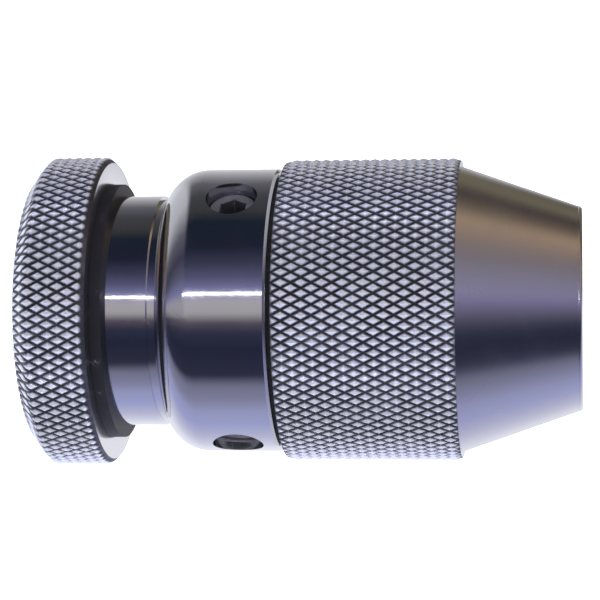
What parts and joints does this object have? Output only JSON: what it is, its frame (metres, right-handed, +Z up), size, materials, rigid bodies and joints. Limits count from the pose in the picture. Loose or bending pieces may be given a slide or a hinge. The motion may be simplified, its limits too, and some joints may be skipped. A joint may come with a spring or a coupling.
{
  "type": "drill chuck",
  "caption": "Keyless drill chuck: turning the knurled sleeve drives slanted jaws out of a conical nose to grip a shank; a rear bore with set screws takes the spindle.",
  "frame": {"origin": "centre of the spindle bore's mouth, on the flat rear face", "axes": "+X along the chuck's axis from the rear face to the nose; +Z up; the first jaw is at the top (+Z)"},
  "size_m": [0.0652, 0.0372, 0.0372],
  "materials": {
    "polished_steel": "turned and polished steel",
    "knurled_steel": "diamond-knurled steel",
    "nose_steel": "fine-turned satin steel",
    "jaw_steel": "ground, hardened steel",
    "black_steel": "black oxide",
    "inner_steel": "oiled machined steel",
    "bronze": "bearing bronze",
    "seal_rubber": "black rubber"
  },
  "bodies": {
    "body": {"body": "polished_steel", "hand_ring": "knurled_steel", "hand_ring_key": "inner_steel", "hand_ring_clip": "black_steel", "bearing_race_front": "inner_steel", "thrust_collar": "inner_steel", "collar_clip": "black_steel", "dust_seal": "seal_rubber"},
    "sleeve": {"sleeve": "knurled_steel", "jaw_guide": "nose_steel", "sleeve_lock_ring": "inner_steel", "bearing_race_rear": "inner_steel", "sleeve_bush": "bronze"},
    "carrier": {"jaw_carrier": "inner_steel", "drive_screw": "inner_steel", "carrier_screw": "black_steel"},
    "balls": {"ball_cage": "bronze", "bearing_balls": "inner_steel"},
    "jaw_1": {"jaw_1": "jaw_steel"},
    "set_screw_1": {"set_screw_1": "black_steel"},
    "jaw_2": {"jaw_2": "jaw_steel"},
    "set_screw_2": {"set_screw_2": "black_steel"},
    "jaw_3": {"jaw_3": "jaw_steel"},
    "set_screw_3": {"set_screw_3": "black_steel"}
  },
  "joints": [
    {"name": "sleeve_turn", "type": "hinge", "parent": "body", "child": "sleeve", "pos_m": [0, 0, 0], "axis": [-1, 0, 0], "range_deg": [0, 1978]},
    {"name": "screw_feed", "type": "slide", "parent": "sleeve", "child": "carrier", "axis": [1, 0, 0], "range_m": [0, 0.00825]},
    {"name": "ball_orbit", "type": "hinge", "parent": "body", "child": "balls", "pos_m": [0, 0, 0], "axis": [-1, 0, 0], "range_deg": [0, 989.5]},
    {"name": "jaw_1_slide", "type": "slide", "parent": "sleeve", "child": "jaw_1", "axis": [0.9397, 0, -0.342], "range_m": [0, 0.00878]},
    {"name": "jaw_2_slide", "type": "slide", "parent": "sleeve", "child": "jaw_2", "axis": [0.9397, 0.2962, 0.171], "range_m": [0, 0.00878]},
    {"name": "jaw_3_slide", "type": "slide", "parent": "sleeve", "child": "jaw_3", "axis": [0.9397, -0.2962, 0.171], "range_m": [0, 0.00878]},
    {"name": "set_screw_1_feed", "type": "slide", "parent": "body", "child": "set_screw_1", "axis": [0, 0.6293, -0.7771], "range_m": [0, 0.001]},
    {"name": "set_screw_2_feed", "type": "slide", "parent": "body", "child": "set_screw_2", "axis": [0, -0.9877, -0.1564], "range_m": [0, 0.001]},
    {"name": "set_screw_3_feed", "type": "slide", "parent": "body", "child": "set_screw_3", "axis": [0, 0.3584, 0.9336], "range_m": [0, 0.001]}
  ],
  "couplings": [
    {"joint": "screw_feed", "follows": "sleeve_turn", "m_per_rad": 0.00023873},
    {"joint": "ball_orbit", "follows": "sleeve_turn", "ratio": 0.5},
    {"joint": "jaw_1_slide", "follows": "sleeve_turn", "m_per_rad": 0.00025405},
    {"joint": "jaw_2_slide", "follows": "sleeve_turn", "m_per_rad": 0.00025405},
    {"joint": "jaw_3_slide", "follows": "sleeve_turn", "m_per_rad": 0.00025405}
  ]
}
